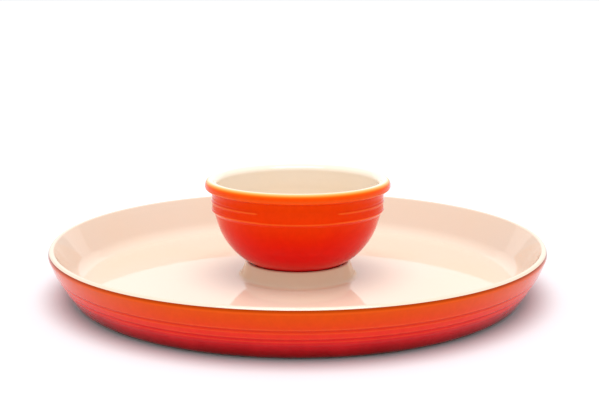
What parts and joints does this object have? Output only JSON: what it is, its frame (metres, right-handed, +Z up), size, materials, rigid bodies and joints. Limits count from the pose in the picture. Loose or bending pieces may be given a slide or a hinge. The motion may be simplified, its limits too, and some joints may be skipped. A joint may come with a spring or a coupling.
{
  "type": "chip and dip server",
  "caption": "Round glazed stoneware platter for chips with a central pedestal, and a ribbed dip bowl that stands loose on the pedestal.",
  "frame": {"origin": "centre of the platter's resting face, on the table", "axes": "+Z up along the common axis of platter and bowl; -Y is the front, where the bowl has its plain panel"},
  "size_m": [0.332, 0.332, 0.0752],
  "materials": {
    "bare_clay": "matte, unglazed",
    "cream_glaze": "gloss",
    "orange_glaze": "gloss",
    "red_glaze": "gloss"
  },
  "bodies": {
    "platter": {"platter_body": "bare_clay", "platter_inner_glaze": "cream_glaze", "platter_outer_glaze": "red_glaze", "platter_underside_glaze": "red_glaze"},
    "bowl": {"bowl_body": "bare_clay", "bowl_inner_glaze": "cream_glaze", "bowl_outer_glaze": "orange_glaze", "bowl_foot_glaze": "orange_glaze"}
  },
  "joints": [
    {"name": "bowl_lift", "type": "slide", "parent": "platter", "child": "bowl", "axis": [0, 0, 1], "range_m": [0, 0.12]}
  ]
}
